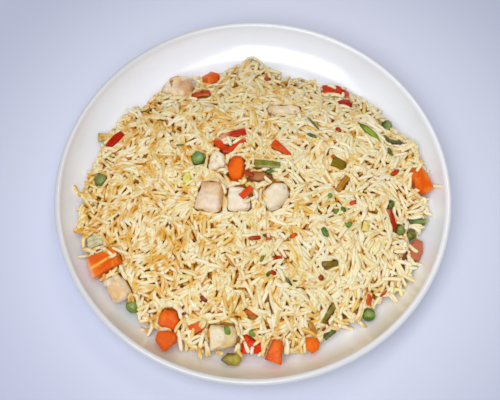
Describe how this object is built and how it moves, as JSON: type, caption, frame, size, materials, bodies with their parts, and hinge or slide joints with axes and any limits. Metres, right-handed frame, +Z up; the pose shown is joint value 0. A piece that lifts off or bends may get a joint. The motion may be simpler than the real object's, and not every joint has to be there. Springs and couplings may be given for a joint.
{
  "type": "plate of coconut fried rice",
  "caption": "White coupe plate heaped with coconut fried rice, with chicken, carrot, peas, peppers and green beans.",
  "frame": {"origin": "middle of the plate's foot, on the surface that the plate stands on", "axes": "+Z up, +Y towards the far side of the plate as the picture shows it, +X to the right"},
  "size_m": [0.2696, 0.2696, 0.0481],
  "materials": {
    "glaze": "gloss",
    "rice": "satin",
    "chicken": "satin",
    "browned": "satin",
    "carrot": "moist gloss",
    "pepper": "moist gloss",
    "salmon": "moist gloss",
    "pea": "moist gloss",
    "bean": "moist gloss",
    "leaf": "satin",
    "olive": "moist gloss",
    "corn": "moist gloss",
    "onion": "moist gloss"
  },
  "bodies": {
    "root": {"plate": "glaze", "rice": "rice", "chicken_far_left": "chicken", "chicken_far": "chicken", "chicken_middle_left": "chicken", "chicken_middle": "chicken", "chicken_middle_right": "chicken", "chicken_browned": "browned", "chicken_round": "chicken", "chicken_left": "chicken", "chicken_front": "chicken", "carrot_far": "carrot", "carrot_middle": "carrot", "carrot_right": "carrot", "carrot_left": "carrot", "carrot_front_left": "carrot", "carrot_front_low": "carrot", "carrot_front": "carrot", "carrot_front_right": "carrot", "pea_middle": "pea", "pea_left": "pea", "pea_front_left": "pea", "pea_front_right": "pea", "pea_right": "pea", "pepper_left": "pepper", "pepper_far_left": "pepper", "pepper_middle_upper": "pepper", "pepper_middle_lower": "pepper", "pepper_far_right": "pepper", "pepper_far_right_low": "pepper", "pepper_beside_middle": "pepper", "pepper_on_chicken": "pepper", "pepper_curved": "pepper", "pepper_right_edge": "salmon", "pepper_front_left": "pepper", "pepper_front": "pepper", "pepper_front_middle": "pepper", "bean_far_right": "bean", "bean_round": "bean", "leaf_far_right": "leaf", "bean_middle": "bean", "pepper_green": "olive", "bean_right": "bean", "bean_ring": "olive", "leaf_right": "leaf", "bean_sliver": "olive", "bean_front": "olive", "leaf_front": "leaf", "leaf_front_right": "leaf", "corn_left": "olive", "corn_middle_left": "corn", "corn_right": "corn", "onion_left": "onion", "onion_right": "browned"}
  },
  "joints": []
}
